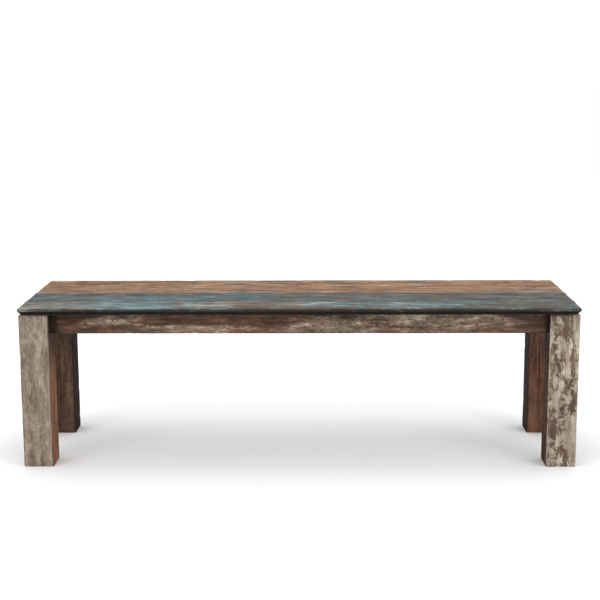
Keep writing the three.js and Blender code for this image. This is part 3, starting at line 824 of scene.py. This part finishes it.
def long_rail(node, inner, seed, cracks, args):
    """inner is +1 where the rail's inner face is its +Y face."""
    lo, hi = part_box(node)
    corners = [(lo.y, lo.z), (hi.y, lo.z), (hi.y, hi.z), (lo.y, hi.z)]
    outer_edge = 3 if inner > 0 else 1
    cracks = [dict(edge=outer_edge, **c) for c in cracks]
    section = Section(corners, [1.4 * MM] * 4, min(STEP, 3.6 * MM), cracks)
    face = hi.y if inner > 0 else lo.y
    cuts, extra = [], []
    for b in BATTENS:
        blo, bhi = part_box(b)
        left, right = blo.x - 0.3 * MM, bhi.x + 0.3 * MM
        reach = (bhi.y if inner < 0 else -blo.y) + 0.3 * MM
        cuts.append((left, right, abs(reach) - abs(face), blo.z - 0.3 * MM))
        extra += [left - 0.1 * MM, left + 0.1 * MM, right - 0.1 * MM, right + 0.1 * MM]

    def housings(A, B, C):
        keep = np.ones_like(A)
        for left, right, deep, zn in cuts:
            u = (face - B) * inner
            hit = (A > left) & (A < right) & (C > zn + 1e-6) & (u < deep)
            t = (C - zn) + np.maximum(u, 0)
            total = (hi.z - zn) + deep
            t = np.clip(t, 0, total)
            nu = np.where(t < deep, t, deep)
            nz = np.where(t < deep, zn, zn + (t - deep))
            B = np.where(hit, face - inner * nu, B)
            C = np.where(hit, np.minimum(nz, hi.z), C)
            keep = np.where(hit, 0.0, keep)
        return A, B, C, keep

    obj = timber(
        node + "_worn", "x", section, lo.x, hi.x, LONG, seed, cracks, housings, extra=extra,
        ridge=0.3, sway=0.35, dents=1.1, chips=1.5,
    )
    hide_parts(node)
    dress(obj, wood(node + "_finish", "x", (lo, hi), seed, **args))
    return obj


RAIL_TONES = [(66, 50, 40), (98, 76, 62), (126, 102, 84)]
RAIL_LOOK = dict(tones=RAIL_TONES, dirt=0.42, edge_tone=(62, 48, 40), edge_amount=0.5, mottle=0.45, mottle_scale=(120, 200, 200), cloud=(12, 50, 50), contrast=0.3, grain=(9, 130, 130), cross=2, lift=1.1)
RUSSET = dict(a=(134, 94, 70), b=(96, 70, 56), strength=0.75, zone=(4.5, 28, 28))
CHALK = dict(a=(206, 190, 170), b=(160, 142, 122), zone=(3.5, 18, 18), fine=(26, 90, 90), soft=0.42, stipple=2.6, ragged=1.2, patch=4.2, strength=0.88)
long_rail(
    "rail_front", 1, 53,
    [crack(0.7, 0.18, 0.44, 1.2)],
    dict(
        paints=[
            dict(cover=[(0, 0.6), (0.5, 0.35), (1, 0.45)], **RUSSET),
            dict(cover=[(0, 0.2), (0.3, 0.5), (0.7, 0.5), (1, 0.0)], across=[(0, 0.9), (0.4, 1), (0.8, 0.85), (1, 0.7)], **CHALK),
        ],
        end_shade=0.8, **RAIL_LOOK,
    ),
)
long_rail(
    "rail_back", -1, 59,
    [crack(0.5, -0.3, 0.1, 1.6)],
    dict(
        paints=[
            dict(cover=[(0, 0.45), (1, 0.4)], **RUSSET),
            dict(cover=[(0, 0.2), (0.5, 0.5), (1, 0.1)], **CHALK),
        ],
        end_shade=0.8, **RAIL_LOOK,
    ),
)
for i, node in enumerate(("end_rail_left", "end_rail_right")):
    lo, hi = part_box(node)
    corners = [(lo.x, lo.z), (hi.x, lo.z), (hi.x, hi.z), (lo.x, hi.z)]
    section = Section(corners, [1.4 * MM] * 4, STEP)
    obj = timber(node + "_worn", "y", section, lo.y, hi.y, STEP, 61 + i, ridge=0.3, sway=0.3, dents=1.0)
    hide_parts(node)
    dress(obj, wood(node + "_finish", "y", (lo, hi), 61 + i, paints=[
        dict(cover=[(0, 0.4), (1, 0.5)], **RUSSET),
        dict(cover=[(0, 0.3), (0.5, 0.55), (1, 0.3)], **CHALK),
    ], **RAIL_LOOK))

# ----------------------------------------------------------------------- legs
LEG_STEP = 3.4 * MM
TOP_CHAMFER = 5.5 * MM
FLAT_DEPTH = 10 * MM
RAIL_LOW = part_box("rail_front")[0].z


def leg(node, sx, sy, seed, cracks, args):
    lo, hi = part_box(node)
    corners = [(lo.x, lo.y), (hi.x, lo.y), (hi.x, hi.y), (lo.x, hi.y)]
    section = Section(corners, [2.2 * MM] * 4, LEG_STEP, cracks)
    inner = np.array((lo.x if sx > 0 else hi.x, lo.y if sy > 0 else hi.y))
    diag = np.array((sx, sy)) / math.sqrt(2)
    z_ch = hi.z - TOP_CHAMFER
    z_flat = RAIL_LOW

    def cuts(A, B, C):
        keep = np.ones_like(A)
        # the two outward top edges are chamfered
        lim = np.maximum(A - z_ch, 0)
        out_b = (hi.x if sx > 0 else -lo.x) - lim
        out_c = (hi.y if sy > 0 else -lo.y) - lim
        B = np.where(B * sx > out_b, out_b * sx, B)
        C = np.where(C * sy > out_c, out_c * sy, C)
        # the inner corner is flat over the rails' height
        q = (B - inner[0]) * diag[0] + (C - inner[1]) * diag[1]
        hit = (A > z_flat) & (q < FLAT_DEPTH)
        push = np.where(hit, FLAT_DEPTH - q, 0)
        keep = np.where(hit, 0.0, keep)
        return A, B + diag[0] * push, C + diag[1] * push, keep

    obj = timber(
        node + "_worn", "z", section, lo.z, hi.z, LEG_STEP, seed, cracks, cuts,
        extra=(z_flat - 0.1 * MM, z_flat + 0.1 * MM, z_ch),
        ridge=0.30, sway=0.2, dents=0.9, chips=1.7, end_round=1.0,
    )
    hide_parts(node)
    dress(obj, wood(node + "_finish", "z", (lo, hi), seed, **args))
    return obj


# in each leg's faces, the last number darkens the upper part of that face as painted shade under the rails and seat;
# the near-black inner faces of the back legs are painted shade
LEG = dict(cross=0, grain=(14, 72, 72), cloud=(9, 20, 20))
leg(
    "leg_front_left", -1, -1, 71,
    [dict(edge=0, **crack(0.35, 0.18, 0.30, 1.4)), dict(edge=3, **crack(0.5, 0.08, 0.3, 2.2)), dict(edge=1, **crack(0.4, 0.05, 0.28, 2.0))],
    dict(
        tones=[(104, 88, 76), (140, 124, 108), (170, 154, 136)],
        paints=[
            dict(a=(172, 158, 142), b=(148, 132, 116), cover=[(0, 0.5), (1, 0.7)], zone=(10, 24, 24), fine=(40, 90, 90), stipple=1.8, soft=0.28, strength=0.7),
            dict(a=(192, 180, 164), b=(172, 158, 142), cover=[(0, 0.3), (1, 0.45)], zone=(12, 34, 34), fine=(50, 110, 110), stipple=2.0, soft=0.25, strength=0.6),
        ],
        dirt=0.36, edge_tone=(70, 62, 56), edge_amount=0.7, mottle=0.55, mottle_scale=(150, 170, 170), fleck=0.35, contrast=0.2, lift=1.2,
        faces=[(0, 1, (116, 74, 50), (156, 106, 76), 0.92), (1, 1, (104, 80, 60), (138, 112, 90), 0.3)], spec=0.05, **LEG,
    ),
)
leg(
    "leg_front_right", 1, -1, 83,
    [dict(edge=0, **crack(0.55, 0.20, 0.34, 1.2)), dict(edge=1, **crack(0.45, 0.05, 0.3, 2.2))],
    dict(
        tones=[(88, 70, 60), (114, 94, 82), (138, 118, 102)],
        paints=[
            dict(a=(214, 202, 184), b=(184, 170, 150), cover=[(0, 0.45), (0.5, 0.5), (0.8, 0.65), (1, 0.4)], zone=(10, 22, 22), fine=(34, 64, 64), patch=2.6, ragged=1.6, stipple=1.3, soft=0.16, strength=0.9),
        ],
        dirt=0.3, edge_tone=(198, 186, 168), edge_amount=0.4, mottle=0.42, mottle_scale=(130, 150, 150), fleck=0.3, contrast=0.18, lift=1.1,
        faces=[(0, -1, (60, 36, 26), (86, 54, 40), 0.6), (1, 1, (90, 72, 60), (122, 102, 86), 0.3)], spec=0.04, **LEG,
    ),
)
leg(
    "leg_back_left", -1, 1, 97,
    [dict(edge=0, **crack(0.5, 0.05, 0.3, 2.0))],
    dict(
        tones=[(72, 54, 46), (98, 76, 64), (118, 94, 78)],
        paints=[
            dict(a=(126, 98, 76), b=(102, 80, 64), cover=[(0, 0.55), (0.5, 0.4), (1, 0.2)], strength=0.65, zone=(9, 24, 24)),
            dict(a=(94, 74, 72), b=(76, 58, 56), cover=[(0, 0.15), (0.5, 0.3), (1, 0.7)], strength=0.6, zone=(9, 24, 24)),
        ],
        dirt=0.3, edge_tone=(50, 38, 32), mottle=0.35, contrast=0.22,
        faces=[(0, 1, (30, 20, 18), (44, 31, 28), 0.3)], spec=0.04, **LEG,
    ),
)
leg(
    "leg_back_right", 1, 1, 103,
    [dict(edge=0, **crack(0.4, 0.08, 0.34, 2.0))],
    dict(
        tones=[(80, 56, 46), (108, 78, 64), (130, 98, 80)],
        paints=[
            dict(a=(142, 90, 68), b=(116, 74, 58), cover=[(0, 0.4), (0.4, 0.65), (0.7, 0.4), (1, 0.1)], strength=0.7, zone=(9, 24, 24)),
            dict(a=(102, 80, 78), b=(84, 64, 62), cover=[(0, 0.1), (0.6, 0.25), (1, 0.75)], strength=0.6, zone=(9, 24, 24)),
        ],
        dirt=0.3, edge_tone=(56, 40, 34), mottle=0.35, contrast=0.22, lift=1.25,
        faces=[(0, -1, (28, 21, 20), (44, 34, 32), 0.3)], spec=0.04, **LEG,
    ),
)

# -------------------------------------------------------------- under the seat
PLAIN = dict(tones=[(128, 98, 70), (158, 126, 94), (180, 150, 116)], dirt=0.22, edge_tone=(118, 90, 66), knots=True)
for i, node in enumerate(BATTENS):
    lo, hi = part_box(node)
    corners = [(lo.x, lo.z), (hi.x, lo.z), (hi.x, hi.z), (lo.x, hi.z)]
    section = Section(corners, [1.6 * MM] * 4, STEP)
    obj = timber(node + "_sawn", "y", section, lo.y, hi.y, STEP, 131 + i, ridge=0.2, sway=0.2, dents=0.5, chips=0.9)
    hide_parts(node)
    dress(obj, wood(node + "_finish", "y", (lo, hi), 131 + i, **PLAIN))

# ------------------------------------------------------------------ fixings
zinc = steel("zinc_steel_aged", 5.0)


def axis_of(node, way):
    """The two ends of a fixing's axis, and its widest radius, from its CAD node."""
    v = np.array([tuple(p.co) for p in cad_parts[node].data.vertices])
    d = np.array(way, float)
    d /= np.linalg.norm(d)
    mid = (v.min(0) + v.max(0)) / 2
    along = (v - mid) @ d
    off = v - mid - along[:, None] * d
    far = np.linalg.norm(off, axis=1)
    return mid + d * along.min(), d, float(along.max() - along.min()), float(far.max()), off[far.argmax()]


def spun(node, start, d, T, R, ring=False, first=None):
    """A body of revolution about an axis. T and R hold a height and a radius for each
    row and each step round it, and ring joins the last row to the first."""
    seg = R.shape[1]
    u = np.array(first if first is not None else (0.0, 0.0, 1.0) if abs(d[2]) < 0.9 else (1.0, 0.0, 0.0), float)
    u = u - d * (u @ d)
    u /= np.linalg.norm(u)
    w = np.cross(d, u)
    ang = np.arange(seg) * 2 * math.pi / seg
    P = start + T[..., None] * d + R[..., None] * (np.cos(ang)[None, :, None] * u + np.sin(ang)[None, :, None] * w)
    rows = P.shape[0]
    pts = P.reshape(-1, 3).tolist()
    idx = np.arange(rows * seg).reshape(rows, seg)
    last = rows if ring else rows - 1
    polys = []
    for r in range(last):
        a, b = idx[r], idx[(r + 1) % rows]
        polys += np.stack([a, np.roll(a, -1), np.roll(b, -1), b], 1).tolist()
    if not ring:
        for row, flip in ((0, True), (rows - 1, False)):
            hub = len(pts)
            pts.append(P[row].mean(0).tolist())
            a = idx[row].tolist()
            b = np.roll(idx[row], -1).tolist()
            polys += [[hub, q, p] if flip else [hub, p, q] for p, q in zip(a, b)]
    mesh = bpy.data.meshes.new(node + "_detailed")
    mesh.from_pydata(pts, [], polys)
    mesh.polygons.foreach_set("use_smooth", [True] * len(mesh.polygons))
    mesh.set_sharp_from_angle(angle=math.radians(32))
    mesh.calc_loop_triangles()
    tri = np.zeros(len(mesh.loop_triangles) * 3, np.int32)
    mesh.loop_triangles.foreach_get("vertices", tri)
    v = np.array(pts)[tri.reshape(-1, 3)]
    if np.einsum("ij,ij->i", v[:, 0], np.cross(v[:, 1], v[:, 2])).sum() < 0:
        mesh.flip_normals()
    obj = bpy.data.objects.new(node + "_detailed", mesh)
    scene.collection.objects.link(obj)
    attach(obj, "root")
    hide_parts(node)
    dress(obj, zinc)
    return obj


def thread(t, seg, r, pitch, deep, crest=0.2):
    """Radii of a helical thread at the heights t."""
    turn = (t[:, None] / pitch - np.arange(seg)[None, :] / seg) % 1.0
    tooth = np.clip((1 - np.abs(turn * 2 - 1)) / (1 - crest), 0, 1)
    return r - deep * (1 - tooth)


def hanger_bolt(node, out):
    start, d, length, r, _ = axis_of(node, out)
    r *= 0.985
    seg = 20
    t = np.linspace(0, length, 300)
    machine = thread(t, seg, r, 1.25 * MM, 0.62 * MM)
    coarse = thread(t, seg, r, 2.8 * MM, 1.3 * MM, 0.1)
    wood_end = length - 46 * MM
    R = np.where((t < wood_end - 4 * MM)[:, None], machine, r * 0.93)
    R = np.where((t > wood_end)[:, None], coarse, R)
    R = np.minimum(R, (r - 1.0 * MM + t)[:, None])  # chamfered machine end
    R = np.minimum(R, (0.4 * MM + (length - t) * 0.5)[:, None])  # screw point
    return spun(node, start, d, np.repeat(t[:, None], seg, 1), R)


def nut(node, out):
    start, d, length, r, first = axis_of(node, out)
    seg = 72
    ang = np.arange(seg) * 2 * math.pi / seg
    flat = r * math.cos(math.pi / 6) * 0.995
    hexagon = np.minimum(flat / np.cos((ang % (math.pi / 3)) - math.pi / 6), r * 0.985)
    rows = []
    for t in (0.0, 0.2, 0.45, 0.8, 1.4, length / MM - 1.4, length / MM - 0.8, length / MM - 0.45, length / MM - 0.2, length / MM):
        cone = flat - 0.25 * MM + 1.7 * MM * min(t, length / MM - t)
        rows.append((t * MM, np.minimum(hexagon, cone)))
    for t in np.linspace(length / MM, 0, 23):
        mouth = 0.5 * MM * max(0.0, 1 - min(t, length / MM - t) / 0.7)
        rows.append((t * MM, 4.28 * MM + mouth + 0.12 * MM * np.sin(2 * math.pi * (t / 1.25) - ang)))
    T = np.array([np.full(seg, t) for t, _ in rows])
    R = np.array([np.broadcast_to(v, (seg,)) for _, v in rows])
    return spun(node, start, d, T, R, ring=True, first=first)


def washer(node, out):
    start, d, length, r, _ = axis_of(node, out)
    L = length / MM
    seg = 64
    wide = r / MM * 0.985
    rows = [(0, wide - 0.35), (0.12, wide - 0.1), (0.4, wide), (L - 0.4, wide), (L - 0.12, wide - 0.1), (L, wide - 0.35),
            (L, 4.75), (L - 0.15, 4.6), (0.15, 4.6), (0, 4.75)]
    T = np.array([np.full(seg, t * MM) for t, _ in rows])
    R = np.array([np.full(seg, v * MM) for _, v in rows])
    return spun(node, start, d, T, R, ring=True)


def wood_screw(node, into):
    """A pan head with a cross recess, then a coarse thread down to a point."""
    start, d, length, r, _ = axis_of(node, into)
    L, H = length / MM, r / MM * 0.985
    shank, head, seg = H / 2, 2.5, 48
    ang = np.arange(seg) * 2 * math.pi / seg
    rows = []
    for f in (0.05, 0.12, 0.2, 0.28, 0.36, 0.46, 0.58, 0.7):
        q = f * H
        side = np.minimum(np.abs(np.sin(ang)), np.abs(np.cos(ang))) * q
        cross = np.clip((0.55 - side) / 0.25, 0, 1) * (1 if q < H * 0.56 else 0)
        rows.append((0.06 * f + 1.25 * cross * (1 - q / H), np.full(seg, q)))
    for t, q in ((0.18, 0.80), (0.45, 0.91), (0.9, 0.98), (1.4, 1.0), (2.1, 1.0), (2.44, 0.97), (2.5, 0.9)):
        rows.append((np.full(seg, t), np.full(seg, q * H)))
    rows.append((np.full(seg, head), np.full(seg, shank * 0.95)))
    t = np.linspace(head + 0.2, L, 110)
    screwed = thread(t, seg, shank * 0.98, 1.8, 0.55, 0.05)
    screwed = np.where((t < head + 2.5)[:, None], shank * 0.78, screwed)
    screwed = np.minimum(screwed, (0.08 + (L - t) * 0.5)[:, None])
    rows += [(np.full(seg, a), b) for a, b in zip(t, screwed)]
    T = np.array([np.broadcast_to(a, (seg,)) for a, _ in rows]) * MM
    R = np.array([b for _, b in rows]) * MM
    return spun(node, start, d, T, R)


for corner, sx, sy in (("front_left", -1, -1), ("front_right", 1, -1), ("back_left", -1, 1), ("back_right", 1, 1)):
    out = (sx, sy, 0)
    hanger_bolt("hanger_bolt_" + corner, out)
    nut("nut_" + corner, out)
    washer("washer_" + corner, out)
    wood_screw("rail_screw_" + corner, (0, sy, 0))
    wood_screw("end_rail_screw_" + corner, (sx, 0, 0))
    wood_screw("seat_screw_" + corner, (0, 0, 1))
for side in ("left", "middle", "right"):
    for k in (1, 2, 3, 4):
        wood_screw("batten_screw_%s_%d" % (side, k), (0, 0, 1))

for name, node in sorted(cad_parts.items()):
    if name.startswith("corner_block"):
        dress(node, wood(name + "_finish", "x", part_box(name), 151 + len(name), worn=False, **PLAIN))
    elif name.startswith("spline"):
        dress(node, wood(name + "_finish", "x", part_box(name), 163, worn=False, **PLAIN))
    elif name.startswith(("hanger", "washer", "nut", "rail_screw", "end_rail_screw", "seat_screw", "batten_screw")):
        dress(node, zinc)


# ---------------------------------------------------------------------- stage
def make_floor():
    rings, spokes = [0.0, 1.5, 4.0, 12.0, 60.0], 96
    verts = [(0, 0, 0)]
    for r in rings[1:]:
        verts += [(r * math.cos(2 * math.pi * k / spokes), r * math.sin(2 * math.pi * k / spokes), 0) for k in range(spokes)]
    faces = [(0, 1 + k, 1 + (k + 1) % spokes) for k in range(spokes)]
    for i in range(len(rings) - 2):
        a, b = 1 + i * spokes, 1 + (i + 1) * spokes
        faces += [(a + k, b + k, b + (k + 1) % spokes, a + (k + 1) % spokes) for k in range(spokes)]
    mesh = bpy.data.meshes.new("floor")
    mesh.from_pydata(verts, [], faces)
    obj = bpy.data.objects.new("floor", mesh)
    scene.collection.objects.link(obj)
    m = Nodes("floor_paper")
    n = m.noise(m.coord, (3, 3, 3), 3, 0.5)
    m.put(m.bsdf.inputs["Base Color"], m.ramp(n, [(0.3, (0.935, 0.935, 0.935, 1)), (0.7, (0.95, 0.95, 0.95, 1))]))
    m.bsdf.inputs["Roughness"].default_value = 0.9
    m.bsdf.inputs["Specular IOR Level"].default_value = 0.1
    obj.data.materials.append(m.mat)


make_floor()

world = bpy.data.worlds.new("studio")
scene.world = world
world.use_nodes = True
world.node_tree.nodes["Background"].inputs[0].default_value = (1, 1, 1, 1)
world.node_tree.nodes["Background"].inputs[1].default_value = 1.07


def soft_light(name, at, size, watts):
    data = bpy.data.lights.new(name, "AREA")
    data.shape, data.size, data.energy = "DISK", size, watts
    obj = bpy.data.objects.new(name, data)
    scene.collection.objects.link(obj)
    obj.location = at
    obj.rotation_mode = "QUATERNION"
    obj.rotation_quaternion = (Vector((0, 0, 0.25)) - Vector(at)).to_track_quat("-Z", "Y")


soft_light("left", (-3.4, -3.6, 2.6), 2.4, 36)
soft_light("right", (3.6, -3.4, 2.6), 2.4, 44)
soft_light("overhead", (0.0, 0.4, 4.4), 3.0, 30)

scene.view_settings.view_transform = "Standard"
scene.view_settings.look = "None"
